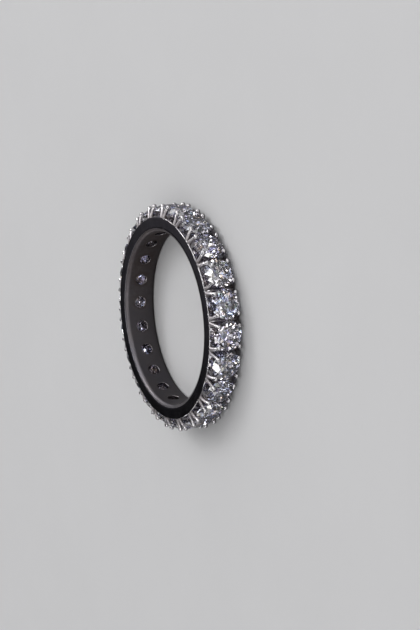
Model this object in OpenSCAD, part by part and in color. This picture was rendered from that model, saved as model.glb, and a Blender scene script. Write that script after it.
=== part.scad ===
// Eternity ring: a cast band with split claws that hold a full circle of round brilliants.
// The ring's axis is Z. It lies on one side face, with the origin at the middle of that side.

/* [Finger hole] */
// Diameter of the finger hole
bore_d = 16.5; // [14:0.1:21]
// Rounding of the two edges where the finger goes in
comfort_r = 0.35; // [0.2:0.05:0.5]

/* [Band] */
// Width of the band along the finger
band_w = 3.1; // [3:0.05:3.8]
// Metal from the finger hole out to the rail between the claws
rail_t = 1.37; // [1.2:0.01:1.5]
// Chamfer on the two outer edges of the rail
rail_chamfer = 0.05; // [0.02:0.01:0.08]
// Diameter of the hole drilled through the band under each stone
drill_d = 1.1; // [0.8:0.05:1.2]
// Thickness of the bridge that joins the claws of one gap across the band
bridge_t = 0.3; // [0.2:0.02:0.36]
// Height of the bridge above the rail
bridge_rise = 0.2; // [0.12:0.02:0.3]

/* [Stones] */
// Diameter of each stone at its girdle
stone_d = 2.8; // [2.6:0.02:2.9]
// Depth of each stone from its girdle to its culet
pavilion_h = 1.2; // [1.1:0.02:1.3]
// Thickness of the girdle
girdle_t = 0.08; // [0.04:0.01:0.12]
// Height of the crown from the girdle to the table
crown_h = 0.42; // [0.34:0.02:0.5]
// Diameter of the table across its corners
table_d = 1.6; // [1.4:0.05:1.8]
// Diameter of the circle on which the star facets end
star_d = 2.15; // [2.05:0.05:2.25]
// Diameter of the circle on which the lower girdle facets end
lower_d = 0.65; // [0.4:0.05:0.9]
// Height of the culets above the finger hole
culet_lift = 0.72; // [0.6:0.02:0.8]
// Least gap between neighbouring girdles, which sets how many stones fit
girdle_gap = 0.12; // [0.08:0.01:0.16]
// Gap that is left all round each stone in its seat
seat_gap = 0.03; // [0.02:0.005:0.04]

/* [Claws] */
// Radius of the bead that ends each claw
bead_r = 0.22; // [0.18:0.01:0.24]
// Radius of a claw under its bead
neck_r = 0.16; // [0.12:0.01:0.17]
// Radius of a claw at its foot
foot_r = 0.18; // [0.16:0.01:0.19]
// Height of the bead's centre above the top of the girdle
bead_rise = 0.32; // [0.28:0.01:0.36]
// How far outside the girdle's circle the bead's centre stands
bead_out = 0.025; // [0:0.005:0.05]
// Direction of each claw from its stone's centre, measured from the row of stones
claw_turn = 47.6; // [44:0.2:50]
// Distance of each foot's centre from the middle of its gap
foot_spread = 0.2; // [0.19:0.005:0.22]
// Distance from the side face in to the feet of the claws
foot_inset = 0.02; // [0.01:0.005:0.05]
// How far the feet of the claws are sunk in the rail
foot_sink = 0.12; // [0.1:0.01:0.16]
// Height above the rail at which two claws of one side part
fork_rise = 0.16; // [0.1:0.02:0.3]
// Thickness of the web that fills the fork below that height
web_t = 0.24; // [0.18:0.02:0.28]

/* [Hidden] */
$fn = 48;
bore_r = bore_d / 2;
mid_z = band_w / 2;
rail_r = bore_r + rail_t;

// Levels of a stone, measured out from the ring's axis
stone_r = stone_d / 2;
culet_level = bore_r + culet_lift;
girdle_low = culet_level + pavilion_h;
girdle_top = girdle_low + girdle_t;
table_level = girdle_top + crown_h;

// The stones stand evenly round the ring, as many as fit with the least gap
stone_count = floor(180 / atan((stone_r + girdle_gap / 2) / girdle_low));
pitch = 360 / stone_count;

// Facets of a brilliant: its stars and lower girdle facets end on the planes of its mains, whose
// number is whole
mains = 8;
main_count = round(mains);
girdle_sides = 2 * main_count;
half_step = 180 / main_count;
table_r = table_d / 2;
star_r = star_d / 2;
lower_r = lower_d / 2;
star_level = table_level
    - (star_r * cos(half_step) - table_r) * crown_h / (stone_r - table_r);
lower_level = culet_level + lower_r * cos(half_step) * pavilion_h / stone_r;

// Claw places in the frame of a gap: across the band, along the row, out from the axis
bead_level = girdle_top + bead_rise;
bead_dist = stone_r + bead_out;
bead_across = bead_dist * sin(claw_turn);
bead_along = bead_dist * cos(claw_turn);
bead_angle = pitch / 2 - atan2(bead_along, bead_level);
bead_reach = norm([bead_along, bead_level]);
foot_across = mid_z - foot_inset - foot_r;
foot_level = rail_r - foot_sink;
function claw_foot(side, next) = [side * foot_across, next * foot_spread, foot_level];
function claw_bead(side, next) = [
    side * bead_across,
    next * bead_reach * sin(bead_angle),
    bead_reach * cos(bead_angle)
];

// How far a cutter runs past the surface that it opens
overrun = 0.3;

// Colours of the two materials
metal_tint = [0.66, 0.65, 0.66];
stone_tint = [0.86, 0.87, 0.92];

function two_digits(n) = str(n < 10 ? "0" : "", n);
function stone_name(i) = str("stone_", two_digits(i + 1));
STONES = [for (i = [0 : stone_count - 1]) stone_name(i)];

// Puts a shape at an angle round the ring, at mid width: its Z points out, its Y along the row
module round_ring(angle) {
    rotate([0, 0, angle])
        translate([0, 0, mid_z])
            rotate([0, 90, 0])
                children();
}

// A round bar from one point to another
module bar(start, end, r_start, r_end) {
    run = end - start;
    translate(start)
        rotate([0, acos(run.z / norm(run)), atan2(run.y, run.x)])
            cylinder(h = norm(run), r1 = r_start, r2 = r_end);
}

// What a round edge takes off the corner of the band's section, from the corner inwards
module edge_round() {
    difference() {
        translate([-overrun, -overrun])
            square(comfort_r + overrun);
        translate([comfort_r, comfort_r])
            circle(r = comfort_r);
    }
}

// The band's section beside the finger hole, before the stones are seated
module band_section() {
    difference() {
        polygon([
            [bore_r, 0],
            [rail_r - rail_chamfer, 0],
            [rail_r, rail_chamfer],
            [rail_r, band_w - rail_chamfer],
            [rail_r - rail_chamfer, band_w],
            [bore_r, band_w]
        ]);
        translate([bore_r, 0])
            edge_round();
        translate([bore_r, band_w])
            mirror([0, 1])
                edge_round();
    }
}

// One claw: a tapered wire from its foot in the rail, ended by a bead over the stone's edge
module claw(side, next) {
    bar(claw_foot(side, next), claw_bead(side, next), foot_r, neck_r);
    translate(claw_bead(side, next))
        sphere(r = bead_r);
}

// The web that fills the fork between the two claws of one side, up to where they part
module fork_web(side) {
    rise = claw_bead(side, 1).z - foot_level;
    lean = atan2(foot_across - bead_across, rise);
    fork_h = (fork_rise + foot_sink) / cos(lean);
    spread_top = foot_spread
        + (claw_bead(side, 1).y - foot_spread) * (fork_rise + foot_sink) / rise;
    translate([side * foot_across, 0, foot_level])
        rotate([0, -side * lean, 0])
            rotate([90, 0, 90])
                linear_extrude(web_t, center = true)
                    polygon([
                        [-foot_spread, 0],
                        [foot_spread, 0],
                        [spread_top, fork_h],
                        [-spread_top, fork_h]
                    ]);
}

// All that stands in one gap: two forked claws joined across the band by a bridge
module gap_claws() {
    for (side = [-1, 1]) {
        for (next = [-1, 1])
            claw(side, next);
        fork_web(side);
    }
    translate([-foot_across, -bridge_t / 2, foot_level])
        cube([2 * foot_across, bridge_t, foot_sink + bridge_rise]);
}

// The room cut for one stone: its outline turned about its own axis, with the seat gap added
module seat() {
    rotate_extrude()
        polygon([
            [0, culet_level - seat_gap],
            [lower_r + seat_gap, lower_level - seat_gap],
            [stone_r + seat_gap, girdle_low],
            [stone_r + seat_gap, girdle_top],
            [star_r + seat_gap, star_level + seat_gap],
            [table_r + seat_gap, table_level + seat_gap],
            [0, table_level + seat_gap]
        ]);
    translate([0, 0, bore_r - overrun])
        cylinder(h = culet_lift + overrun, d = drill_d);
}

// The band with its claws, one piece of cast white metal
module band() {
    color(metal_tint)
        difference() {
            union() {
                rotate_extrude()
                    band_section();
                for (i = [0 : stone_count - 1])
                    round_ring(i * pitch)
                        gap_claws();
            }
            for (i = [0 : stone_count - 1])
                round_ring((i + 0.5) * pitch)
                    seat();
        }
}

// A ring of corners about the stone's axis
function corners(r, level, count, first) = [
    for (k = [0 : count - 1])
        [r * cos(first + k * 360 / count), r * sin(first + k * 360 / count), level]
];

// A round brilliant. Above the girdle it has the table, the stars, the mains and two halves a main,
// and below it two halves a main and the mains, which meet in the culet.
module brilliant() {
    points = concat(
        [[0, 0, culet_level]],
        corners(table_r, table_level, main_count, 0),
        corners(star_r, star_level, main_count, half_step),
        corners(stone_r, girdle_top, girdle_sides, 0),
        corners(stone_r, girdle_low, girdle_sides, 0),
        corners(lower_r, lower_level, main_count, half_step)
    );
    culet = 0;
    first_table = culet + 1;
    first_star = first_table + main_count;
    first_top = first_star + main_count;
    first_low = first_top + girdle_sides;
    first_lower = first_low + girdle_sides;
    last_main = main_count - 1;
    last_side = girdle_sides - 1;
    function table(k) = first_table + (k + main_count) % main_count;
    function star(k) = first_star + (k + main_count) % main_count;
    function top(j) = first_top + j % girdle_sides;
    function low(j) = first_low + j % girdle_sides;
    function lower(k) = first_lower + (k + main_count) % main_count;
    polyhedron(
        points,
        concat(
            [[for (k = [last_main : -1 : 0]) table(k)]],
            [for (k = [0 : last_main]) [table(k), table(k + 1), star(k)]],
            [for (k = [0 : last_main]) [table(k), star(k), top(2 * k), star(k - 1)]],
            [for (k = [0 : last_main]) [star(k), top(2 * k + 1), top(2 * k)]],
            [for (k = [0 : last_main]) [star(k), top(2 * k + 2), top(2 * k + 1)]],
            [for (j = [0 : last_side]) [top(j), top(j + 1), low(j + 1), low(j)]],
            [for (k = [0 : last_main]) [lower(k), low(2 * k), low(2 * k + 1)]],
            [for (k = [0 : last_main]) [lower(k), low(2 * k + 1), low(2 * k + 2)]],
            [for (k = [0 : last_main]) [culet, lower(k - 1), low(2 * k), lower(k)]]
        )
    );
}

// One stone in its seat
module stone(i) {
    color(stone_tint)
        round_ring((i + 0.5) * pitch)
            brilliant();
}

band();
for (i = [0 : stone_count - 1]) {
    stone(i);
}
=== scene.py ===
"""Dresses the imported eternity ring: polished rail and claws, cut stones, and a plain pale stage."""

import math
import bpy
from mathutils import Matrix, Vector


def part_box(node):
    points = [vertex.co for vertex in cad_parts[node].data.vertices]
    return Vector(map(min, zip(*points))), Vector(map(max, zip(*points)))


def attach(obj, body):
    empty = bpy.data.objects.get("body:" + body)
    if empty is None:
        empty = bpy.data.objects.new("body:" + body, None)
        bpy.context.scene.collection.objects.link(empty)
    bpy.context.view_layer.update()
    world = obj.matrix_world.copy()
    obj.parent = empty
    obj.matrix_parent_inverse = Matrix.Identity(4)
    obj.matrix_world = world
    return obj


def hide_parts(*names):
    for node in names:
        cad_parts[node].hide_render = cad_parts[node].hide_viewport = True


bl_info = {
    "name": "Eternity ring",
    "version": (1, 0, 0),
    "blender": (4, 5, 0),
    "location": "View3D > Sidebar > Ring",
    "description": "Makes the polished setting of an eternity ring, dresses its stones and sets its stage",
    "category": "Object",
}

from types import SimpleNamespace

import bmesh
import bpy
import numpy as np
from bpy.props import FloatProperty, FloatVectorProperty, PointerProperty
from mathutils import Matrix, Vector

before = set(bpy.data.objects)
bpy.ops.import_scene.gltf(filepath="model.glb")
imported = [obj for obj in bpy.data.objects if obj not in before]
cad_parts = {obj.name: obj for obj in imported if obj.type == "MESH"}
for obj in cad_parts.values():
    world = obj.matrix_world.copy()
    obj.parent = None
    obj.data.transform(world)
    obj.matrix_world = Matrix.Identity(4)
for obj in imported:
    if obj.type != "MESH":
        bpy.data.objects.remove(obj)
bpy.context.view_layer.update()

MM = 0.001

# The photograph's frame, in pixels, and the camera's sensor
PHOTO_WIDTH = 420
PHOTO_HEIGHT = 630
SENSOR_MM = 36.0
# Share of the greatest distance across past which a stone's corner is one of its girdle, and how far under
# the highest level one is still of its table
GIRDLE_SHARE = 0.999
TABLE_REACH = 1e-7


def stone_nodes():
    """The stones' CAD nodes in their order round the ring."""
    return [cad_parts[name] for name in sorted(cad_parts) if name.startswith("stone_")]


def coordinates(piece):
    """All of a mesh object's vertices as one array."""
    flat = np.empty(len(piece.data.vertices) * 3)
    piece.data.vertices.foreach_get("co", flat)
    return flat.reshape(-1, 3)


def measure_frame():
    """What the setting has to fit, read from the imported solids: the band's width, the finger hole, and a
    stone's levels, which are its distances from the ring's axis along its own."""
    low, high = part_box("band")
    band = coordinates(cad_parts["band"])
    stones = stone_nodes()
    half_pitch = math.pi / len(stones)
    first = coordinates(stones[0])
    level = first[:, 0] * math.cos(half_pitch) + first[:, 1] * math.sin(half_pitch)
    middle = (low.z + high.z) / 2
    across = first[:, 2] - middle
    girdle = level[np.abs(across) > np.abs(across).max() * GIRDLE_SHARE]
    table = across[level > level.max() - TABLE_REACH]
    return SimpleNamespace(
        width=high.z - low.z,
        middle=middle,
        bore_radius=float(np.hypot(band[:, 0], band[:, 1]).min()),
        stones=len(stones),
        half_pitch=half_pitch,
        stone_radius=float(np.abs(across).max()),
        table_radius=float(np.abs(table).max()),
        culet=float(level.min()),
        girdle_low=float(girdle.min()),
        girdle_top=float(girdle.max()),
        table=float(level.max()),
    )


FIT = measure_frame()


# Sizes and finishes


def number(name, description, default, subtype, **more):
    """A number property of a kind."""
    return FloatProperty(name=name, description=description, default=default, subtype=subtype, **more)


def length(name, description, millimetres):
    """A length property in metres with its default given in millimetres."""
    return number(name, description, millimetres * MM, "DISTANCE", min=0.0, unit="LENGTH")


def share(name, description, default):
    """A property from 0 to 1."""
    return number(name, description, default, "FACTOR", min=0.0, max=1.0)


def degrees(name, description, default):
    """An angle property with its default given in degrees."""
    return number(name, description, math.radians(default), "ANGLE", unit="ROTATION")


def colour(name, description, default):
    """A linear colour property."""
    return FloatVectorProperty(
        name=name, description=description, default=default, size=3, min=0.0, max=1.0, subtype="COLOR"
    )


class RailSizes(bpy.types.PropertyGroup):
    """Sizes of the rail that carries the claws."""

    height: length("Rail height", "Metal from the finger hole out to the rail between the claws", 1.37)
    comfort: length("Comfort rounding", "Rounding of the two edges of the finger hole", 0.35)
    edge: length("Outer edge rounding", "Small rounding of the rail's two outer edges", 0.05)
    drill: length("Drilled hole", "Radius of the hole under each stone", 0.55)
    lip: length("Hole lip", "Rounding where a drilled hole meets the finger hole", 0.05)
    ridge: length("Bridge height", "How far the bridge in each gap stands above the rail", 0.2)
    ridge_width: length("Bridge width", "Half width of the bridge's rounded back", 0.2)
    seat_gap: length("Seat gap", "Gap left between a stone and its seat", 0.02)


class ClawSizes(bpy.types.PropertyGroup):
    """Sizes and places of the forked claws."""

    bead: length("Bead radius", "Radius of the bead that ends each claw", 0.22)
    neck: length("Neck radius", "Radius of a claw under its bead", 0.155)
    foot: length("Foot radius", "Radius of a claw just above its foot", 0.18)
    flare: length("Foot flare", "How much wider a claw is where it leaves the rail", 0.09)
    rise: length("Bead height", "Height of a bead's centre above the top of the girdle", 0.32)
    out: length("Bead distance", "How far outside the girdle's circle a bead's centre stands", 0.025)
    spread: length("Foot spread", "Distance of a foot from the middle of its gap", 0.2)
    inset: length("Foot inset", "Distance from the side face in to the feet", 0.02)
    sink: length("Foot depth", "How far the feet are sunk in the rail", 0.12)
    turn: degrees("Claw direction", "Direction of each claw from its stone, from the row of stones", 47.6)
    uneven: share("Hand finish", "How much the claws differ from each other", 0.5)


class MetalLook(bpy.types.PropertyGroup):
    """Finish of the white metal, and the shade painted on it."""

    tone: colour("Metal", "Colour of the polished white metal", (0.61, 0.585, 0.595))
    # The finger hole's wall is set far darker than the metal: painted shade, besides its satin roughness
    wall: colour("Satin wall", "Colour of the satin wall of the finger hole", (0.18, 0.167, 0.173))
    # The dark colour that the darkening brings in: grime in the corners, and painted shade in recesses,
    # between parts and on the finger hole's wall
    soil_and_shade: colour("Soil", "Colour of what settles in the corners", (0.095, 0.072, 0.066))
    polish: share("Roughness", "Roughness of the polished faces", 0.1)
    satin: share("Satin roughness", "How much rougher the finger hole's wall is", 0.3)
    scratches: share("Scratches", "Strength of the fine wear marks", 0.35)


class StoneLook(bpy.types.PropertyGroup):
    """Finish of the brilliants."""

    # The stone's grey tone darkens all light that passes through it: painted shade
    tone: colour("Stone", "Colour of a stone where it has no fire", (0.76, 0.73, 0.785))
    fire: share("Fire", "Strength of the coloured flashes", 0.7)


class StageLook(bpy.types.PropertyGroup):
    """The floor, the light and the camera."""

    floor: colour("Floor", "Colour of the pale floor", (0.66, 0.66, 0.67))
    azimuth: degrees("Camera azimuth", "Direction of the camera round the ring's axis, from +X", -11.76)
    elevation: degrees("Camera elevation", "Height of the camera above the ring's plane", 25.66)
    roll: degrees("Camera roll", "Turn of the camera about its own axis, to stand the ring upright", -96.47)
    distance: length("Camera distance", "Distance of the camera from the middle of the ring", 182.04)
    focal: number("Focal length", "Focal length of the camera in millimetres", 109.53, "DISTANCE_CAMERA")
    centre_x: number("Ring, across", "Pixels from the left edge to the ring's middle", 177.5, "PIXEL")
    centre_y: number("Ring, down", "Pixels from the top edge to the ring's middle", 316.6, "PIXEL")


# Surfaces on grids

# Points that lie nearer together than this are one point
MERGE_DISTANCE = 1e-8
# What each point carries for the materials, each from 0 to 1: darkening by grime and painted shade, satin
# wall with its darker painted-shade tone, bright edge
FINISH = ("hollow", "satin", "edge")
# Steps of the grids
SECTOR_STEPS = 14
WIDTH_STEPS = 16
PLATE_STEPS = 10
ARC_STEPS = 6
SEAT_STEPS = 4
CLAW_SIDES = 16
CLAW_STEPS = 14
BEAD_STEPS = 9


def grid_quads(index):
    """The quads between neighbouring points of a grid of vertex numbers, rows by columns."""
    return np.stack([index[:-1, :-1], index[:-1, 1:], index[1:, 1:], index[1:, :-1]], -1).reshape(-1, 4)


def round_columns(index):
    """The same grid with its first column repeated at its end, for a surface that closes on itself."""
    return np.concatenate([index, index[:, :1]], axis=1)


class Surface:
    """Collects grids of points and puts them into one mesh with their common points merged."""

    def __init__(self):
        self.points = []
        self.faces = []
        self.finish = []
        self.count = 0

    def add_points(self, points, finish):
        """Takes points of any shape with their finish and gives their vertex numbers in that shape."""
        flat = points.reshape(-1, 3)
        index = np.arange(self.count, self.count + len(flat)).reshape(points.shape[:-1])
        spread = np.broadcast_to(finish, (*points.shape[:-1], len(FINISH)))
        self.points.append(flat)
        self.finish.append(spread.reshape(-1, len(FINISH)))
        self.count += len(flat)
        return index

    def add_grid(self, points, finish, closed=False):
        """Adds one grid of points, rows by columns by 3."""
        index = self.add_points(points, finish)
        self.faces.append(grid_quads(round_columns(index) if closed else index))
        return index

    def add_grids(self, points, finish, closed=False):
        """Adds a grid of points for each sector."""
        for grid, worn in zip(points, np.broadcast_to(finish, (*points.shape[:-1], len(FINISH)))):
            self.add_grid(grid, worn, closed)

    def add_fan(self, ring, centre, finish):
        """Closes a ring of vertex numbers with triangles to one point."""
        tip = self.add_points(centre.reshape(1, 3), finish)[0]
        after = np.roll(ring, -1)
        self.faces.append(np.stack([ring, after, np.full_like(ring, tip)], -1))

    def build(self, name, sharp_angle):
        """Makes the object: merges points that coincide, turns the faces outwards and smooths them."""
        points = np.concatenate(self.points)
        finish = np.concatenate(self.finish)
        _, first, place = np.unique(
            np.round(points / MERGE_DISTANCE).astype(np.int64), axis=0, return_index=True, return_inverse=True
        )
        place = place.reshape(-1)
        faces = [row for block in self.faces for row in place[block].tolist()]
        mesh = bpy.data.meshes.new(name)
        mesh.from_pydata(points[first], [], faces)
        for column, label in enumerate(FINISH):
            attribute = mesh.attributes.new(label, "FLOAT", "POINT")
            attribute.data.foreach_set("value", finish[first, column].astype(np.float32))
        shell = bmesh.new()
        shell.from_mesh(mesh)
        bmesh.ops.recalc_face_normals(shell, faces=shell.faces)
        shell.to_mesh(mesh)
        shell.free()
        mesh.shade_smooth()
        mesh.set_sharp_from_angle(angle=sharp_angle)
        mesh.update()
        return new_object(name, mesh)


def new_object(name, data):
    """A new object in the scene."""
    thing = bpy.data.objects.new(name, data)
    bpy.context.scene.collection.objects.link(thing)
    return thing


def finish_of(hollow=0.0, satin=0.0, edge=0.0):
    """Finish values side by side, each a number or an array."""
    return np.stack(np.broadcast_arrays(hollow, satin, edge), -1)


def sector_angles():
    """The middle angle of each stone's sector, to be added to a sector's rows and columns."""
    return (2 * np.arange(FIT.stones)[:, None, None] + 1) * FIT.half_pitch


def from_polar(turn, radius, height):
    """Points from an angle round the ring, a distance from its axis and a height."""
    turn, radius, height = np.broadcast_arrays(turn, radius, height)
    return np.stack([radius * np.cos(turn), radius * np.sin(turn), height], -1)


def from_row(turn, points):
    """Points from the frame of a stone or a gap at an angle round the ring: across the band, along the row
    and out from the ring's axis."""
    across, along, level = np.moveaxis(points, -1, 0)
    return from_polar(turn + np.arctan2(along, level), np.hypot(level, along), FIT.middle + across)


def smooth_step(x):
    """3x^2 - 2x^3 between 0 and 1, level outside."""
    x = np.clip(x, 0, 1)
    return x * x * (3 - 2 * x)


def between(start, end, t):
    """From start to end by a share t: start + (end - start) * t."""
    return start + (end - start) * t


# Rail

# The bridge's share of its height at the rail's edge, and how far in it takes to rise to all of it
EDGE_RIPPLE = 0.12
RIPPLE_REACH = 0.6 * MM
# How far in from the rail's edge its small ripple blends into the side face
EDGE_BLEND = 0.12 * MM
# Share of the comfort rounding over which its satin, with the wall's darker painted-shade tone, gives way to
# the polish of the side face
SATIN_FADE = 0.25
# Power that sets the steps from a hole to its sector's rim a little closer at the hole
PLATE_SPREAD = 1.15
# Times that the seat's rim is worked out anew until it stands still
RIM_ROUNDS = 12
# Darkening of the finger hole's wall, grime and painted shade, added at its holes' lips, and the power by
# which it falls off from them
WALL_HOLLOW = 0.12
LIP_HOLLOW = 0.5
LIP_FALL = 3
# Darkening at the rail's outer edges, and added between the claws: grime and painted shade
EDGE_HOLLOW = 0.1
GAP_HOLLOW = 0.35
# Darkening in the polished seats, and in the drilled holes under them: grime and painted shade in these
# recesses
SEAT_HOLLOW = 0.2
DRILL_HOLLOW = 0.7
# Painted shade on the finger hole's wall, darkest on one side of the ring: its strength, its middle round the
# ring, and the cosine at which it ends and over how much more it grows to its full strength
WALL_SHADE_STRENGTH = 0.65
WALL_SHADE_TURN = math.radians(95)
WALL_SHADE_END = 0.3
WALL_SHADE_FADE = 0.55
# Angle past which an edge of the rail stays sharp
RAIL_SHARP = math.radians(38)


def rail_radius(sizes):
    """Distance of the plain rail's outer surface from the axis."""
    return FIT.bore_radius + sizes.height


def well_inside(height):
    """A smooth step from 0 at the rail's two side faces to 1 past the bridges' slopes."""
    return smooth_step((FIT.width / 2 - np.abs(height - FIT.middle)) / RIPPLE_REACH)


def rail_level(sizes, turn, height):
    """Distance of the rail's outer surface from the axis: the rail's radius, and in the middle of each gap
    a round backed bridge, ridge * (1 + cos(pi * distance / (2 * half width))) / 2, that is lower at the
    two edges."""
    base = rail_radius(sizes)
    pitch = 2 * FIT.half_pitch
    gap_distance = np.abs((turn + FIT.half_pitch) % pitch - FIT.half_pitch) * base
    back = 0.5 + 0.5 * np.cos(np.pi * np.clip(gap_distance / (2 * sizes.ridge_width), 0, 1))
    return base + sizes.ridge * back * between(EDGE_RIPPLE, 1, well_inside(height))


def arc(centre_r, centre_z, radius, start, end):
    """Points of an arc in the band's section, as rows of distance from the axis and height."""
    t = np.linspace(start, end, ARC_STEPS + 1)
    return np.stack([centre_r + radius * np.cos(t), centre_z + radius * np.sin(t)], -1)


def side_section(sizes):
    """One side of the band's section, from the finger hole out: the comfort rounding, the flat side face and
    the small outer edge."""
    bore, rail = FIT.bore_radius, rail_radius(sizes)
    inner = arc(bore + sizes.comfort, sizes.comfort, sizes.comfort, math.pi, 1.5 * math.pi)
    outer = arc(rail - sizes.edge, sizes.edge, sizes.edge, 1.5 * math.pi, 2 * math.pi)
    steps = np.linspace(0, 1, ARC_STEPS + 1)[1:-1, None]
    return np.concatenate([inner, between(inner[-1], outer[0], steps), outer])


def sector_rim(radius, inset):
    """The rim of a sector's piece of a surface at a distance from the axis, an inset in from both side
    faces: its points in turn, as angle from the stone and height, and their directions from the stone."""
    half_turn, low, high = FIT.half_pitch, inset, FIT.width - inset
    turns = np.linspace(-half_turn, half_turn, SECTOR_STEPS + 1)
    heights = np.linspace(low, high, WIDTH_STEPS + 1)
    rim = np.concatenate([
        np.stack([turns[:-1], np.full(SECTOR_STEPS, low)], -1),
        np.stack([np.full(WIDTH_STEPS, half_turn), heights[:-1]], -1),
        np.stack([turns[:0:-1], np.full(SECTOR_STEPS, high)], -1),
        np.stack([np.full(WIDTH_STEPS, -half_turn), heights[:0:-1]], -1),
    ])
    return rim, np.arctan2(rim[:, 0] * radius, rim[:, 1] - FIT.middle)


def plate_between(hole, rim):
    """Grid from a round hole out to a sector's rim: hole + (rim - hole) * t^p, with t from 0 to 1 and p
    a little over 1."""
    return between(hole, rim, np.linspace(0, 1, PLATE_STEPS + 1)[:, None, None] ** PLATE_SPREAD)


def pavilion_slope():
    """How much a stone's radius grows with its level, from the culet to the girdle."""
    return FIT.stone_radius / (FIT.girdle_low - FIT.culet)


def seat_radius(sizes, level):
    """Radius of the conical seat at a level: that of the stone's pavilion there, plus the seat gap."""
    return (level - FIT.culet) * pavilion_slope() + sizes.seat_gap


def seat_bottom(sizes):
    """The level at which the seat is as narrow as the drilled hole."""
    return FIT.culet + (sizes.drill - sizes.seat_gap) / pavilion_slope()


def seat_rim(sizes, direction):
    """Radius of the seat's rim in the rail's outer surface, for each direction round the stone, found by
    putting the surface's level into the seat's cone a few times."""
    radius = np.full_like(direction, sizes.drill)
    for _ in range(RIM_ROUNDS):
        along = radius * np.sin(direction)
        turn = np.arcsin(along / rail_radius(sizes))
        outer = rail_level(sizes, FIT.half_pitch + turn, FIT.middle + radius * np.cos(direction))
        radius = seat_radius(sizes, np.sqrt(outer**2 - along**2))
    return radius


def wall_painted_shade(turn):
    """Painted shade on the finger hole's wall at an angle round the ring: a smooth step of the cosine of
    the angle from its darkest place."""
    return WALL_SHADE_STRENGTH * smooth_step((np.cos(turn - WALL_SHADE_TURN) - WALL_SHADE_END) / WALL_SHADE_FADE)


def round_hole(surface_radius, radius, direction):
    """A round hole about the stone's axis in a surface at a distance from the ring's axis, as angle from
    the stone and height."""
    return np.stack([
        np.arcsin(radius * np.sin(direction) / surface_radius),
        FIT.middle + radius * np.cos(direction),
    ], -1)


def add_sides(surface, sizes):
    """On both sides of each sector, the band's section turned round the axis. Its outer edge rises a little
    at the bridges."""
    bore, rail, half_turn = FIT.bore_radius, rail_radius(sizes), FIT.half_pitch
    section = side_section(sizes)
    past_edge = np.clip((section[:, :1] - bore) / sizes.comfort, 0, 1)
    blend = smooth_step((section[:, :1] - (rail - EDGE_BLEND)) / EDGE_BLEND)
    finish = finish_of(0.0, smooth_step((1 - past_edge) / SATIN_FADE), blend)
    turns = np.linspace(-half_turn, half_turn, SECTOR_STEPS + 1)
    placed = sector_angles() + turns
    # Painted shade on the comfort rounding where it takes the wall's tone, darker on one side of the ring
    finish = np.minimum(finish + finish_of(wall_painted_shade(placed) * finish[..., 1]), 1.0)
    rise = rail_level(sizes, half_turn + turns, sizes.edge)[None, :] - rail
    radius = section[:, :1] + blend * rise
    height = np.broadcast_to(section[:, 1:], radius.shape)
    for side_height in (height, FIT.width - height):
        surface.add_grids(from_polar(placed, radius, side_height), finish)


def add_wall(surface, sizes):
    """Each sector's piece of the finger hole's wall, from the drilled hole's lip to the sector's rim."""
    bore = FIT.bore_radius
    rim, direction = sector_rim(bore, sizes.comfort)
    wall = plate_between(round_hole(bore, sizes.drill + sizes.lip, direction), rim)
    from_hole = np.linspace(0, 1, PLATE_STEPS + 1)[:, None]
    # Grime and painted shade on the wall, heavier at the holes' lips
    finish = finish_of(WALL_HOLLOW + LIP_HOLLOW * (1 - from_hole) ** LIP_FALL, 1.0, 0.0)
    placed = sector_angles() + wall[..., 0]
    # Painted shade on the wall, darker on one side of the ring
    finish = np.minimum(finish + finish_of(wall_painted_shade(placed)), 1.0)
    surface.add_grids(from_polar(placed, bore, wall[..., 1]), finish, closed=True)


def add_outside(surface, sizes):
    """Each sector's piece of the outer surface, from the seat's rim to the sector's rim."""
    rim, direction = sector_rim(rail_radius(sizes), sizes.edge)
    outer = plate_between(round_hole(rail_radius(sizes), seat_rim(sizes, direction), direction), rim)
    radius = rail_level(sizes, FIT.half_pitch + outer[..., 0], outer[..., 1])
    inside = well_inside(outer[..., 1])
    # Grime and painted shade on the rail between the claws and at its edges
    finish = finish_of(EDGE_HOLLOW + GAP_HOLLOW * inside, 0.0, 1 - inside)
    surface.add_grids(from_polar(sector_angles() + outer[..., 0], radius, outer[..., 1]), finish, closed=True)


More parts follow.
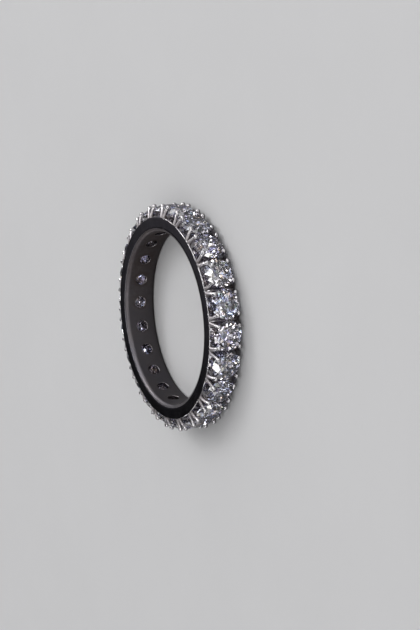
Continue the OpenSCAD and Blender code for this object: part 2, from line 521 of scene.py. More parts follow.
def add_holes(surface, sizes):
    """Each stone's conical seat, the drilled hole under it, and the hole's lip, a quarter round. On the way
    in, the rings of points turn from the outer rim's directions to the wall's."""
    bore, drill = FIT.bore_radius, sizes.drill
    _, outer_direction = sector_rim(rail_radius(sizes), sizes.edge)
    _, direction = sector_rim(bore, sizes.comfort)
    seat_r = seat_rim(sizes, outer_direction)
    opening = round_hole(rail_radius(sizes), seat_r, outer_direction)
    rim_radius = rail_level(sizes, FIT.half_pitch + opening[:, 0], opening[:, 1])
    bottom = seat_bottom(sizes)
    steps = np.linspace(0, 1, SEAT_STEPS + 1)[:, None]
    cone_across = between(seat_r * np.cos(outer_direction), drill * np.cos(outer_direction), steps)
    cone_along = between(rim_radius * np.sin(opening[:, 0]), drill * np.sin(outer_direction), steps)
    cone_level = between(rim_radius * np.cos(opening[:, 0]), bottom, steps)

    hole_top = np.sqrt(bore**2 - ((drill + sizes.lip) * np.sin(direction)) ** 2)
    lip_turn = np.linspace(math.pi / 2, 0, ARC_STEPS + 1)[:, None]
    lip_r = drill + sizes.lip * (1 - np.sin(lip_turn))
    lip_level = hole_top + sizes.lip * (1 - np.cos(lip_turn))
    turned = between(outer_direction, direction_near(direction, outer_direction), steps[1:])
    drill_level = between(bottom, lip_level[0], steps[1:])
    across = np.concatenate([cone_across, drill * np.cos(turned), (lip_r * np.cos(direction))[1:]])
    along = np.concatenate([cone_along, drill * np.sin(turned), (lip_r * np.sin(direction))[1:]])
    level = np.concatenate([cone_level, drill_level, lip_level[1:]])
    # The seats and drilled holes darkened by grime and painted shade
    hollow = np.full((len(across), 1), DRILL_HOLLOW)
    hollow[:len(cone_across)] = SEAT_HOLLOW
    holes = np.stack([across, along, level], -1)
    surface.add_grids(from_row(sector_angles(), holes), finish_of(hollow), closed=True)


def rail_surface(sizes):
    """The rail as one closed surface."""
    surface = Surface()
    for add_pieces in (add_sides, add_wall, add_outside, add_holes):
        add_pieces(surface, sizes)
    return surface


def direction_near(direction, target):
    """The same directions, with whole turns added so that each is the nearest to its target."""
    return direction + 2 * np.pi * np.round((target - direction) / (2 * np.pi))


# Claws

# Where a claw's knee lies between foot and bead: shares of the way across, along the row and out
KNEE = np.array([0.18, 0.3, 0.55])
# How many times over the taper from foot to neck fits in a claw's run
TAPER = 1.4
# Share of a claw's run over which its foot flares
FLARE_RUN = 0.42
# How far hand finishing moves the beads: across, along the row and out, and its share of their radius
BEAD_SHIFT = np.array([0.03, 0.04, -0.02]) * MM
BEAD_CHANGE = 0.04
CLAW_SEED = 7
# How far inside the side faces the claws' roots are dressed flush
FLUSH_INSET = 0.004 * MM
# Painted shade under the beads, with the share of the height at which it ends and over how much less it grows
NECK_SHADE = 0.4
NECK_END = 0.98
NECK_FADE = 0.3
# Grime and painted shade at the feet, with the share of the height that it reaches, and painted shade on the
# side that faces inwards
FOOT_SOIL_AND_SHADE = 0.35
FOOT_END = 0.5
INNER_SHADE = 0.6
# Angle past which an edge of a claw stays sharp
CLAW_SHARP = math.radians(60)


def claw_places(sizes, rail):
    """Foot and bead of every claw in the frame of its gap, with the claw's gap, side and neighbour."""
    gap = np.arange(FIT.stones) * 2 * FIT.half_pitch
    gap, side, nearer = (x.reshape(-1) for x in np.meshgrid(gap, [-1.0, 1.0], [-1.0, 1.0], indexing="ij"))
    distance = FIT.stone_radius + sizes.out
    level = FIT.girdle_top + sizes.rise
    along = distance * math.cos(sizes.turn)
    turn = FIT.half_pitch - math.atan2(along, level)
    reach = math.hypot(along, level)
    foot_level = rail_radius(rail) - sizes.sink
    foot = np.stack([
        side * (FIT.width / 2 - sizes.inset - sizes.foot),
        nearer * sizes.spread,
        np.full_like(side, foot_level),
    ], -1)
    bead = np.stack([
        side * distance * math.sin(sizes.turn),
        nearer * reach * math.sin(turn),
        np.full_like(side, reach * math.cos(turn)),
    ], -1)
    return gap, side, nearer, foot, bead


def keep_off_stone(rail, nearer, points):
    """Moves points that lie inside a stone's outline straight out from the stone's axis to its surface.
    The outline's radius grows along the pavilion, is level at the girdle and shrinks up the crown."""
    turn = (nearer * FIT.half_pitch)[:, None, None]
    across = points[..., 0]
    along = points[..., 1] * np.cos(turn) - points[..., 2] * np.sin(turn)
    level = points[..., 2] * np.cos(turn) + points[..., 1] * np.sin(turn)
    pavilion = (level - FIT.culet) / (FIT.girdle_low - FIT.culet) * FIT.stone_radius
    crown = FIT.stone_radius - (level - FIT.girdle_top) / (FIT.table - FIT.girdle_top) * (
        FIT.stone_radius - FIT.table_radius
    )
    outline = np.minimum(np.minimum(pavilion, crown), FIT.stone_radius) + rail.seat_gap
    grow = np.maximum(outline / np.hypot(across, along), 1.0)
    across, along = across * grow, along * grow
    turned_along = along * np.cos(turn) + level * np.sin(turn)
    turned_level = level * np.cos(turn) - along * np.sin(turn)
    return np.stack([across, turned_along, turned_level], -1)


def claw_wires(sizes, foot, bead, bead_radius):
    """Each claw's centre line with its direction and radius. The line is the curve
    (1-t)^2 foot + 2t(1-t) knee + t^2 bead, run on straight through the bead, and the radius falls from the
    flared foot to the neck, swells into the bead and closes over its end as sqrt(bead^2 - distance^2)."""
    knee = between(foot, bead, KNEE)
    t = np.linspace(0, 1, CLAW_STEPS + 1)[None, :, None]
    centre = (1 - t) ** 2 * foot[:, None] + 2 * t * (1 - t) * knee[:, None] + t**2 * bead[:, None]
    forward = 2 * (1 - t) * (knee - foot)[:, None] + 2 * t * (bead - knee)[:, None]
    forward /= np.linalg.norm(forward, axis=-1, keepdims=True)
    run = t[..., 0]
    wire = between(sizes.foot, sizes.neck, smooth_step(run * TAPER))
    flare = sizes.flare * np.clip(1 - run / FLARE_RUN, 0, 1) ** 2
    to_bead = (1 - run) * np.linalg.norm(bead - foot, axis=-1)[:, None]
    swell = np.sqrt(np.clip(bead_radius[:, None] ** 2 - to_bead**2, 0, None))
    radius = np.maximum(wire + flare, swell)

    over = np.linspace(0, math.pi / 2, BEAD_STEPS + 1)[1:-1]
    last = forward[:, -1:]
    past_bead = bead[:, None] + last * (bead_radius[:, None] * np.sin(over))[..., None]
    centre = np.concatenate([centre, past_bead], 1)
    forward = np.concatenate([forward, np.repeat(last, len(over), 1)], 1)
    radius = np.concatenate([radius, bead_radius[:, None] * np.cos(over)], 1)
    return centre, forward, radius


def rings_round(centre, forward, radius, side, angle):
    """Rings of points round the claws' lines, centre + radius * (outward * cos(angle) + sideways *
    sin(angle)), where outward is square to the line and points out of the band."""
    outward = np.zeros_like(forward)
    outward[..., 0] = side[:, None]
    outward -= (outward * forward).sum(-1, keepdims=True) * forward
    outward /= np.linalg.norm(outward, axis=-1, keepdims=True)
    sideways = np.cross(forward, outward)
    ring = outward[:, :, None] * np.cos(angle)[:, None] + sideways[:, :, None] * np.sin(angle)[:, None]
    return centre[:, :, None] + radius[:, :, None, None] * ring


def claw_finish_and_shade(height_share, angle):
    """The claws' finish and painted shade by the share of their height and the angle round them: painted
    shade under the beads, more at the feet, where grime joins it, and on the side that faces inwards, and the
    upper half rubbed bright."""
    inward = 0.5 - 0.5 * np.cos(angle)
    hollow = NECK_SHADE * smooth_step((NECK_END - height_share) / NECK_FADE)
    hollow = hollow + FOOT_SOIL_AND_SHADE * np.clip(1 - height_share / FOOT_END, 0, 1)
    hollow = hollow + INNER_SHADE * np.clip(1 - height_share, 0, 1) * inward
    return finish_of(np.clip(hollow, 0, 1), 0.0, smooth_step(height_share * 2 - 1))


def claw_surface(sizes, rail):
    """The claws, each a round wire from its foot to its bead with the small differences of hand finishing.
    They are kept off their stones and dressed flush with the side faces."""
    surface = Surface()
    gap, side, nearer, foot, bead = claw_places(sizes, rail)
    uneven = sizes.uneven * np.random.default_rng(CLAW_SEED).uniform(-1, 1, (len(gap), 4))
    bead = bead + uneven[:, :3] * BEAD_SHIFT
    bead_radius = sizes.bead * (1 + BEAD_CHANGE * uneven[:, 3])
    centre, forward, radius = claw_wires(sizes, foot, bead, bead_radius)
    angle = np.linspace(0, 2 * math.pi, CLAW_SIDES, endpoint=False)
    points = keep_off_stone(rail, nearer, rings_round(centre, forward, radius, side, angle))
    pole = bead + forward[:, -1] * bead_radius[:, None]
    pole = keep_off_stone(rail, nearer, pole[:, None, None])[:, 0, 0]
    flush = FIT.width / 2 - FLUSH_INSET
    points[..., 0] = np.clip(points[..., 0], -flush, flush)

    height_share = (points[..., 2] - foot[:, None, None, 2]) / (bead - foot)[:, None, None, 2]
    finish = claw_finish_and_shade(height_share, angle)
    for k in range(len(gap)):
        index = surface.add_grid(from_row(gap[k], points[k]), finish[k], closed=True)
        surface.add_fan(index[-1], from_row(gap[k], pole[k]), finish_of(edge=1.0))
        # The foot's end inside the rail takes the full darkening of grime and painted shade
        surface.add_fan(index[0], from_row(gap[k], foot[k]), finish_of(hollow=1.0))
    return surface


# Materials

# Kinds of a group's sockets
NUMBER = "NodeSocketFloat"
COLOUR = "NodeSocketColor"
WHITE = (1.0, 1.0, 1.0, 1.0)
BLACK = (0.0, 0.0, 0.0, 1.0)
# Scale of the polishing marks across their run, and along it in X and in Y
MARK_SCALE = 16000.0
MARK_RUN = (260.0, 190.0)
# Scale, detail and roughness of each noise: polishing marks, handling marks, pits, hand polishing's waves,
# patches of soil and painted shade, clouds of tint, and the floor's mottling and tooth
MARK_NOISE = (1.0, 3.0, 0.6)
HANDLING_NOISE = (900.0, 4.0, 0.55)
PIT_NOISE = (5200.0, 2.0, 0.5)
WAVE_NOISE = (520.0, 1.0, 0.4)
SOIL_AND_SHADE_NOISE = (2600.0, 4.0, 0.6)
TINT_NOISE = (420.0, 3.0, 0.55)
MOTTLE_NOISE = (60.0, 5.0, 0.6)
TOOTH_NOISE = (2500.0, 2.0, 0.5)
# Strength and depth of each relief
MARK_RELIEF = (0.25, 0.004 * MM)
WAVE_RELIEF = (0.3, 0.05 * MM)
TOOTH_RELIEF = (0.15, 0.02 * MM)
# Power that thins the marks, and the shares of marks and pits in the height of the polish
MARK_POWER = 2.0
MARK_SHARE = 0.6
PIT_SHARE = 0.4
# Roughness that handling and marks add, and what is taken off all over
HANDLING_ROUGH = 0.22
MARK_ROUGH = 0.18
BASE_ROUGH = 0.03
# How far noise breaks up the mask of soil and painted shade, and how steeply and from where the mask grows
PATCHES = 0.7
SOIL_AND_SHADE_SLOPE = 1.5
SOIL_AND_SHADE_START = -0.45
# Cool and warm tint of the metal, and how steeply they change
COOL_TINT = (0.86, 0.88, 0.95, 1.0)
WARM_TINT = (1.0, 0.96, 0.93, 1.0)
TINT_SLOPE = 1.8
TINT_START = -0.5
# The cleaner metal of a rubbed edge, and its share there
RUBBED_TONE = (0.8, 0.79, 0.8, 1.0)
RUBBED_SHARE = 0.6
# What the darkening of soil and painted shade adds to the roughness, and what rubbing takes off it
DARKENED_ROUGH = 0.3
RUBBED_ROUGH = -0.04
# How much rougher the claws are than the rail, and how much soil and painted shade the rail and the claws
# take
CLAW_ROUGH = 0.13
RAIL_SOIL_AND_SHADE = 0.75
CLAW_SOIL_AND_SHADE = 0.9
# How strongly the stones bend light, the scale of their cells of painted fire and the tints of the cells
STONE_IOR = 2.417
FIRE_SCALE = 3200.0
FIRE_SHADES = [
    (0.0, (0.45, 0.38, 1.0, 1.0)), (0.18, (0.35, 0.6, 1.0, 1.0)), (0.3, WHITE),
    (0.8, WHITE), (0.92, (1.0, 0.62, 0.25, 1.0)), (1.0, (0.45, 1.0, 0.7, 1.0)),
]
# Roughness of the floor's board, and how dark its mottling is, as a share of its colour
BOARD_ROUGH = 0.75
MOTTLE = 0.94
# How much darker the floor shows in the metal and through the stones, as if black cards lay round the ring
MIRROR_DIM = 0.65


def opaque(shade):
    """A colour with its alpha."""
    return (*shade, 1.0)


def new_material(name):
    """An empty node material and its tree."""
    material = bpy.data.materials.new(name)
    material.use_nodes = True
    material.node_tree.nodes.clear()
    return material, material.node_tree


def feed(tree, sockets, values):
    """Gives each socket its value: a link where the value is a socket itself, and else a constant."""
    for socket, value in zip(sockets, values):
        if isinstance(value, bpy.types.NodeSocket):
            tree.links.new(value, socket)
        else:
            socket.default_value = value


def feed_named(tree, node, values):
    """Gives a node's sockets their values by name, with an underscore for each space."""
    feed(tree, [node.inputs[key.replace("_", " ")] for key in values], values.values())


def add(tree, kind, settings=None, **values):
    """A node with its settings and its sockets' values."""
    node = tree.nodes.new(kind)
    for key, value in (settings or {}).items():
        setattr(node, key, value)
    feed_named(tree, node, values)
    return node


def math_node(tree, operation, first, second=0.0, third=0.0, clamp=False):
    """A Math node's result from numbers or sockets."""
    node = add(tree, "ShaderNodeMath", {"operation": operation, "use_clamp": clamp})
    feed(tree, node.inputs, (first, second, third))
    return node.outputs[0]


def mix_colour(tree, factor, first, second, blend="MIX"):
    """A mix of two colours, each a socket or a plain colour."""
    node = add(tree, "ShaderNodeMix", {"data_type": "RGBA", "blend_type": blend})
    feed(tree, [node.inputs[0], node.inputs[6], node.inputs[7]], (factor, first, second))
    return node.outputs[2]


def times(tree, first, second):
    """The product of two numbers or sockets."""
    return math_node(tree, "MULTIPLY", first, second)


def plus(tree, first, second):
    """The sum of two numbers or sockets."""
    return math_node(tree, "ADD", first, second)


def noise(tree, place, kind):
    """The value of a noise texture of a kind, which is its scale, detail and roughness."""
    scale, detail, roughness = kind
    return add(
        tree, "ShaderNodeTexNoise", Vector=place, Scale=scale, Detail=detail, Roughness=roughness
    ).outputs["Fac"]


def relief(tree, kind, height, **below):
    """The normal of a relief of a kind, which is its strength and depth, on top of a normal below it."""
    strength, depth = kind
    return add(tree, "ShaderNodeBump", Strength=strength, Distance=depth, Height=height, **below).outputs[0]


def principled(tree, **values):
    """A material's own shader with its sockets' values, put out as the surface."""
    shader = add(tree, "ShaderNodeBsdfPrincipled", **values)
    add(tree, "ShaderNodeOutputMaterial", Surface=shader.outputs[0])


def object_place(tree):
    """Coordinates on the piece itself, which stay with it."""
    return tree.nodes.new("ShaderNodeTexCoord").outputs["Object"]


def ramp(tree, factor, stops):
    """A colour ramp with the given places and colours."""
    node = tree.nodes.new("ShaderNodeValToRGB")
    while len(node.color_ramp.elements) < len(stops):
        node.color_ramp.elements.new(0.5)
    for element, (place, shade) in zip(node.color_ramp.elements, stops):
        element.position = place
        element.color = shade
    tree.links.new(factor, node.inputs[0])
    return node.outputs[0]


def new_group(name, inputs, outputs):
    """An empty shader group with named sockets, given as name to kind of socket."""
    tree = bpy.data.node_groups.new(name, "ShaderNodeTree")
    for side, sockets in (("INPUT", inputs), ("OUTPUT", outputs)):
        for label, kind in sockets.items():
            tree.interface.new_socket(label, in_out=side, socket_type=kind)
    return tree, tree.nodes.new("NodeGroupInput").outputs, tree.nodes.new("NodeGroupOutput")


def use_group(tree, group, **values):
    """What a group puts out in a tree with its own values."""
    return add(tree, "ShaderNodeGroup", {"node_tree": group}, **values).outputs


def polish_group():
    """Fine polishing marks that run round the ring, cloudy handling marks, and the slow waves of a hand
    polished face. The marks are noise over the distance from the axis and the height, drawn out along the
    row."""
    name = "Polishing marks"
    if name in bpy.data.node_groups:
        return bpy.data.node_groups[name]
    tree, inside, outside = new_group(
        name,
        {"Marks": NUMBER, "Polish": NUMBER},
        {"Height": NUMBER, "Waves": NUMBER, "Roughness": NUMBER},
    )
    place = object_place(tree)
    x, y, z = add(tree, "ShaderNodeSeparateXYZ", Vector=place).outputs
    radius = math_node(tree, "SQRT", plus(tree, times(tree, x, x), times(tree, y, y)))
    slow = plus(tree, times(tree, x, MARK_RUN[0]), times(tree, y, MARK_RUN[1]))
    drawn = add(tree, "ShaderNodeCombineXYZ", X=times(tree, radius, MARK_SCALE),
                Y=times(tree, z, MARK_SCALE), Z=slow)
    streaks = noise(tree, drawn.outputs[0], MARK_NOISE)
    clouds = noise(tree, place, HANDLING_NOISE)
    pits = noise(tree, place, PIT_NOISE)
    sharp = math_node(tree, "POWER", streaks, MARK_POWER)
    height = plus(tree, times(tree, sharp, MARK_SHARE), times(tree, pits, PIT_SHARE))
    worn = plus(tree, times(tree, clouds, HANDLING_ROUGH), times(tree, sharp, MARK_ROUGH))
    rough = plus(tree, inside["Polish"], times(tree, worn, inside["Marks"]))
    feed_named(tree, outside, {
        "Height": times(tree, height, inside["Marks"]),
        "Waves": noise(tree, place, WAVE_NOISE),
        "Roughness": math_node(tree, "SUBTRACT", rough, BASE_ROUGH, clamp=True),
    })
    return tree


def finish_and_shade_group():
    """The metal's colour by place: the satin wall's darker tone, which is painted shade, a mask of grime and
    painted shade broken up by noise, and the cleaner metal of the rubbed edges. It reads the piece's own
    hollow, satin and edge attributes."""
    name = "Metal finish"
    if name in bpy.data.node_groups:
        return bpy.data.node_groups[name]
    tree, inside, outside = new_group(
        name,
        {"Metal": COLOUR, "Wall": COLOUR, "Soil": COLOUR, "Amount": NUMBER},
        {"Color": COLOUR, "Soiled": NUMBER, "Satin": NUMBER, "Rubbed": NUMBER},
    )
    hollow, satin, edge = (
        add(tree, "ShaderNodeAttribute", {"attribute_name": label}).outputs["Fac"] for label in FINISH
    )
    place = object_place(tree)
    patches = noise(tree, place, SOIL_AND_SHADE_NOISE)
    clouds = noise(tree, place, TINT_NOISE)
    broken = plus(tree, hollow, math_node(tree, "MULTIPLY_ADD", patches, PATCHES, -PATCHES / 2))
    mask = math_node(tree, "MULTIPLY_ADD", broken, SOIL_AND_SHADE_SLOPE, SOIL_AND_SHADE_START, clamp=True)
    darkened = times(tree, mask, inside["Amount"])
    warmth = math_node(tree, "MULTIPLY_ADD", clouds, TINT_SLOPE, TINT_START, clamp=True)
    tint = mix_colour(tree, warmth, COOL_TINT, WARM_TINT)
    tinted_metal = mix_colour(tree, 1.0, inside["Metal"], tint, "MULTIPLY")
    # The wall's tone, far darker than the metal, is painted shade
    tinted_shaded_wall = mix_colour(tree, 1.0, inside["Wall"], tint, "MULTIPLY")
    rubbed = math_node(tree, "MULTIPLY", edge, RUBBED_SHARE, clamp=True)
    toned = mix_colour(tree, satin, mix_colour(tree, rubbed, tinted_metal, RUBBED_TONE), tinted_shaded_wall)
    feed_named(tree, outside, {
        "Color": mix_colour(tree, darkened, toned, inside["Soil"]),
        "Soiled": darkened,
        "Satin": satin,
        "Rubbed": edge,
    })
    return tree


def metal_material(name, look, polish, soil_and_shade_amount):
    """White metal with fine marks: polished outside, satin and darkened by painted shade on the finger hole's
    wall, rubbed bright along the edges, and darkened by grime and painted shade where the piece is hollow."""
    material, tree = new_material(name)
    finish = use_group(tree, finish_and_shade_group(), Metal=opaque(look.tone), Wall=opaque(look.wall),
                       Soil=opaque(look.soil_and_shade), Amount=soil_and_shade_amount)
    marks = use_group(tree, polish_group(), Marks=look.scratches, Polish=polish)
    rough = plus(tree, marks["Roughness"], times(tree, finish["Soiled"], DARKENED_ROUGH))
    rough = math_node(tree, "MULTIPLY_ADD", finish["Satin"], look.satin, rough)
    rough = math_node(tree, "MULTIPLY_ADD", finish["Rubbed"], RUBBED_ROUGH, rough, clamp=True)
    fine = relief(tree, MARK_RELIEF, marks["Height"])
    wavy = relief(tree, WAVE_RELIEF, marks["Waves"], Normal=fine)
    principled(tree, Base_Color=finish["Color"], Metallic=1.0, Roughness=rough, Normal=wavy)
    return material


def stone_material(name, look):
    """Cut stone: clear, bending light strongly, with faint violet, blue and amber fire painted as tints in
    small cells that lie across its facets, and a grey tone that darkens it as painted shade."""
    material, tree = new_material(name)
    cells = add(tree, "ShaderNodeTexVoronoi", Vector=object_place(tree), Scale=FIRE_SCALE, Randomness=1.0)
    hue = add(tree, "ShaderNodeSeparateColor", Color=cells.outputs["Color"])
    tinted = mix_colour(tree, look.fire, WHITE, ramp(tree, hue.outputs[0], FIRE_SHADES))
    toned = mix_colour(tree, 1.0, opaque(look.tone), tinted, "MULTIPLY")
    principled(tree, Base_Color=toned, Roughness=0.0, IOR=STONE_IOR, Transmission_Weight=1.0)
    return material


def floor_material(look):
    """Pale matt board with faint mottling and a fine tooth. Rays that come to it off the metal or through a
    stone find it darker, so the polished faces and the stones keep their dark parts."""
    material, tree = new_material("pale_board")
    place = object_place(tree)
    darker = tuple(c * MOTTLE for c in look.floor)
    tone = mix_colour(tree, noise(tree, place, MOTTLE_NOISE), opaque(darker), opaque(look.floor))
    path = tree.nodes.new("ShaderNodeLightPath").outputs
    mirrored = math_node(tree, "MAXIMUM", path["Is Glossy Ray"], path["Is Transmission Ray"])
    tone = mix_colour(tree, times(tree, mirrored, MIRROR_DIM), tone, BLACK)
    tooth = relief(tree, TOOTH_RELIEF, noise(tree, place, TOOTH_NOISE))
    principled(tree, Base_Color=tone, Roughness=BOARD_ROUGH, Normal=tooth)
    return material


# Stage

# Azimuth and power of each low strip of light round the ring
LOW_STRIPS = [(-30, 0.26), (16, 0.38), (66, 0.34), (118, 0.34), (220, 0.34), (-72, 0.34)]
# Name, azimuth, elevation, distance, width, height, power and colour of each soft light
LIGHTS = [
    ("key_softbox", 95, 55, 0.90, 0.90, 0.90, 2.20, (1.0, 1.0, 1.0)),
    ("camera_softbox", -58, 42, 0.78, 0.21, 0.21, 0.35, (1.0, 0.99, 0.97)),
    ("row_softbox", 40, 38, 0.72, 0.18, 0.18, 0.36, (0.97, 0.98, 1.0)),
    ("high_strip", -12, 60, 0.84, 0.36, 0.06, 0.50, (1.0, 1.0, 1.0)),
    ("rim_softbox", 112, 44, 0.78, 0.30, 0.30, 1.10, (1.0, 1.0, 1.0)),
    *((f"low_strip_{i}", azimuth, 13, 0.78, 0.36, 0.24, power, (1.0, 1.0, 1.0))
      for i, (azimuth, power) in enumerate(LOW_STRIPS, 1)),
]
# The small lamps that make the stones sparkle: they start at an azimuth, and climb from a low elevation
LAMP_COUNT = 34
LAMP_DISTANCE = 0.78
LAMP_SIZE = 0.072
LAMP_POWER = 0.099
LAMP_SHADES = [(1.0, 1.0, 1.0), (0.92, 0.95, 1.0), (1.0, 0.96, 0.9)]
LAMP_START = 20
LAMP_LOW = 6
LAMP_CLIMB = 62
# The azimuth and elevation that the side face mirrors, and how far round them no lamp stands, in degrees
QUIET_PLACE = (168, 25)
QUIET_REACH = 20
# The studio's shades from the foot of its walls up, by the sine of the elevation
WALL_SHADES = [
    (0.0, (0.7, 0.7, 0.72, 1.0)), (0.09, (0.7, 0.7, 0.72, 1.0)), (0.18, (0.05, 0.05, 0.052, 1.0)),
    (0.3, (0.006, 0.006, 0.007, 1.0)), (0.45, (0.003, 0.003, 0.0035, 1.0)),
    (1.0, (0.12, 0.12, 0.12, 1.0)),
]
# The studio's soft glow: its azimuth and elevation, and its shades by the cosine of the angle from there
GLOW_PLACE = (150, 38)
GLOW_SHADES = [(0.936, BLACK), (0.95, (0.032, 0.031, 0.036, 1.0)), (1.0, (0.1, 0.098, 0.11, 1.0))]
# How often light may pass on in all and through the stones, and how often it may be mirrored
PASSES = 24
MIRRORINGS = 12
# From where to where the camera sees, in metres
CLIP = (0.01, 10.0)
# Half the width of the floor's board, and its thickness
FLOOR_HALF = 1.5
FLOOR_THICK = 1 * MM


def direction_of(azimuth, elevation):
    """The unit vector from the ring towards a direction given in degrees."""
    turn, lift = math.radians(azimuth), math.radians(elevation)
    return Vector((math.cos(turn) * math.cos(lift), math.sin(turn) * math.cos(lift), math.sin(lift)))


def area_light(name, azimuth, elevation, distance, width, height, power, shade):
    """A soft rectangular light that looks at the ring from a direction given in degrees."""
    data = bpy.data.lights.new(name, "AREA")
    data.shape = "RECTANGLE"
    data.size = width
    data.size_y = height
    data.energy = power
    data.color = shade
    lamp = new_object(name, data)
    back = direction_of(azimuth, elevation)
    lamp.location = back * distance + Vector((0, 0, FIT.middle))
    lamp.rotation_euler = (-back).to_track_quat("-Z", "Y").to_euler()
    lamp.visible_camera = False


def sparkle_lamps():
    """Small lamps spread evenly round the ring: each one stands a golden angle on from the last, and they
    climb from near the floor to high overhead. None stands where the polished side face would show it."""
    golden = 180 * (3 - math.sqrt(5))
    quiet = direction_of(*QUIET_PLACE)
    for i in range(LAMP_COUNT):
        azimuth = LAMP_START + i * golden
        elevation = LAMP_LOW + LAMP_CLIMB * (i + 0.5) / LAMP_COUNT
        if direction_of(azimuth, elevation).angle(quiet) > math.radians(QUIET_REACH):
            area_light(f"lamp_{i + 1:02d}", azimuth, elevation, LAMP_DISTANCE, LAMP_SIZE, LAMP_SIZE,
                       LAMP_POWER, LAMP_SHADES[i % len(LAMP_SHADES)])


def studio_world():
    """A dim studio: dark walls with a pale band along their foot, a soft glow on one side, and a little
    light from the ceiling."""
    world = bpy.data.worlds.new("studio")
    bpy.context.scene.world = world
    world.use_nodes = True
    tree = world.node_tree
    tree.nodes.clear()
    place = tree.nodes.new("ShaderNodeTexCoord").outputs["Generated"]
    height = add(tree, "ShaderNodeSeparateXYZ", Vector=place).outputs[2]
    shade = ramp(tree, height, WALL_SHADES)
    facing = add(tree, "ShaderNodeVectorMath", {"operation": "DOT_PRODUCT"})
    feed(tree, facing.inputs, (place, direction_of(*GLOW_PLACE)))
    glow = ramp(tree, facing.outputs["Value"], GLOW_SHADES)
    sky = add(tree, "ShaderNodeBackground", Color=mix_colour(tree, 1.0, shade, glow, "ADD"), Strength=1.0)
    add(tree, "ShaderNodeOutputWorld", Surface=sky.outputs[0])


def light_paths():
    """Lets light pass often enough through the stones, and shows the plain values of the render."""
    scene = bpy.context.scene
    scene.cycles.max_bounces = PASSES
    scene.cycles.glossy_bounces = MIRRORINGS
    scene.cycles.transmission_bounces = PASSES
    scene.view_settings.view_transform = "Standard"


def place_camera(look):
    """The photograph's camera: it stands off the ring's middle at the given azimuth and elevation, is rolled
    so that the ring stands upright in the frame, and is turned a little so that the ring's middle falls on
    its place in the photograph."""
    back = direction_of(math.degrees(look.azimuth), math.degrees(look.elevation))
    right = Vector((0, 0, 1)).cross(back).normalized()
    up = back.cross(right)
    axes = Matrix((right, up, back)).transposed() @ Matrix.Rotation(look.roll, 3, "Z")
    focal_px = look.focal * PHOTO_HEIGHT / SENSOR_MM
    seen = Vector((look.centre_x - PHOTO_WIDTH / 2, PHOTO_HEIGHT / 2 - look.centre_y, -focal_px))
    axes = axes @ seen.rotation_difference(Vector((0, 0, -1))).to_matrix()
    data = bpy.data.cameras.new("camera")
    data.lens = look.focal
    data.sensor_fit = "AUTO"
    data.sensor_width = SENSOR_MM
    data.clip_start, data.clip_end = CLIP
    camera = new_object("camera", data)
    stand = Vector((0, 0, FIT.middle)) + back * look.distance
    camera.matrix_world = Matrix.Translation(stand) @ axes.to_4x4()
    bpy.context.scene.camera = camera


def add_floor(look):
    """A wide pale sheet of board under the ring, with its top at height 0."""
    plan = FLOOR_HALF * np.array([[-1, -1], [1, -1], [1, 1], [-1, 1]])
    corners = np.concatenate([np.insert(plan, 2, level, axis=1) for level in (-FLOOR_THICK, 0.0)])
    faces = [(3, 2, 1, 0), (4, 5, 6, 7), (0, 1, 5, 4), (1, 2, 6, 5), (2, 3, 7, 6), (3, 0, 4, 7)]
    mesh = bpy.data.meshes.new("floor")
    mesh.from_pydata(corners, [], faces)
    floor = new_object("floor", mesh)
    floor.data.materials.append(floor_material(look))


# Operators and panel


class RING_OT_rail(bpy.types.Operator):
    """Makes the rail with its seats and drilled holes"""

    bl_idname = "ring.make_rail"
    bl_label = "Make the rail"

    def execute(self, context):
        scene = context.scene
        piece = rail_surface(scene.ring_rail).build("rail", RAIL_SHARP)
        look = scene.ring_metal
        piece.data.materials.append(metal_material("polished_rail", look, look.polish, RAIL_SOIL_AND_SHADE))
        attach(piece, "root")
        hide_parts("band")
        return {"FINISHED"}


class RING_OT_claws(bpy.types.Operator):
    """Makes the forked claws with their beads"""

    bl_idname = "ring.make_claws"
    bl_label = "Make the claws"

    def execute(self, context):
        scene = context.scene
        piece = claw_surface(scene.ring_claws, scene.ring_rail).build("claws", CLAW_SHARP)
        look = scene.ring_metal
        rough = look.polish + CLAW_ROUGH
        piece.data.materials.append(metal_material("polished_claws", look, rough, CLAW_SOIL_AND_SHADE))
        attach(piece, "root")
        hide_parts("band")
        return {"FINISHED"}


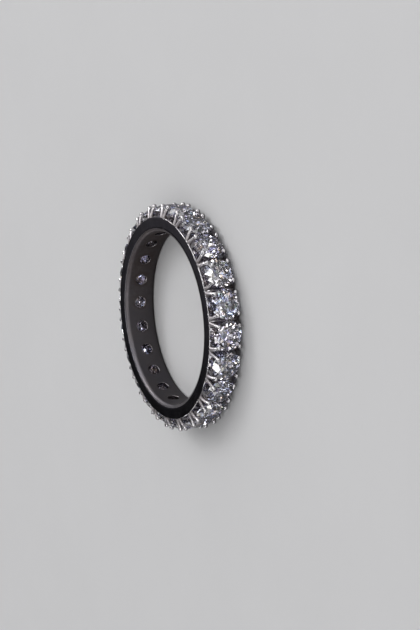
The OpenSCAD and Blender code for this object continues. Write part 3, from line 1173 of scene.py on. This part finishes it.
class RING_OT_stones(bpy.types.Operator):
    """Gives the stones their finish"""

    bl_idname = "ring.dress_stones"
    bl_label = "Dress the stones"

    def execute(self, context):
        material = stone_material("cut_stone", context.scene.ring_stone)
        for stone in stone_nodes():
            stone.data.materials.clear()
            stone.data.materials.append(material)
        return {"FINISHED"}


class RING_OT_stage(bpy.types.Operator):
    """Sets the floor, the lights and the camera"""

    bl_idname = "ring.set_stage"
    bl_label = "Set the stage"

    def execute(self, context):
        look = context.scene.ring_stage
        add_floor(look)
        studio_world()
        for row in LIGHTS:
            area_light(*row)
        sparkle_lamps()
        light_paths()
        place_camera(look)
        return {"FINISHED"}


class RING_PT_panel(bpy.types.Panel):
    """Lists the ring's sizes, finishes and operators"""

    bl_idname = "RING_PT_panel"
    bl_label = "Eternity ring"
    bl_space_type = "VIEW_3D"
    bl_region_type = "UI"
    bl_category = "Ring"

    def draw(self, context):
        for operator, groups in STEPS:
            box = self.layout.box()
            for group in groups:
                settings = getattr(context.scene, group)
                for name in type(settings).__annotations__:
                    box.prop(settings, name)
            box.operator(operator)


# Each operator with its settings; the claws read those of the rail and the metal too
STEPS = [
    ("ring.make_rail", ("ring_rail", "ring_metal")),
    ("ring.make_claws", ("ring_claws",)),
    ("ring.dress_stones", ("ring_stone",)),
    ("ring.set_stage", ("ring_stage",)),
]
SETTINGS = {
    "ring_rail": RailSizes,
    "ring_claws": ClawSizes,
    "ring_metal": MetalLook,
    "ring_stone": StoneLook,
    "ring_stage": StageLook,
}
CLASSES = [*SETTINGS.values(), RING_OT_rail, RING_OT_claws, RING_OT_stones, RING_OT_stage, RING_PT_panel]


def register():
    for cls in CLASSES:
        bpy.utils.register_class(cls)
    for name, cls in SETTINGS.items():
        setattr(bpy.types.Scene, name, PointerProperty(type=cls))


def unregister():
    for name in SETTINGS:
        delattr(bpy.types.Scene, name)
    for cls in reversed(CLASSES):
        bpy.utils.unregister_class(cls)


def main():
    """Registers the add-on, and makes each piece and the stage."""
    register()
    bpy.ops.ring.make_rail()
    bpy.ops.ring.make_claws()
    bpy.ops.ring.dress_stones()
    bpy.ops.ring.set_stage()
    bpy.context.view_layer.update()


if __name__ == "__main__":
    main()
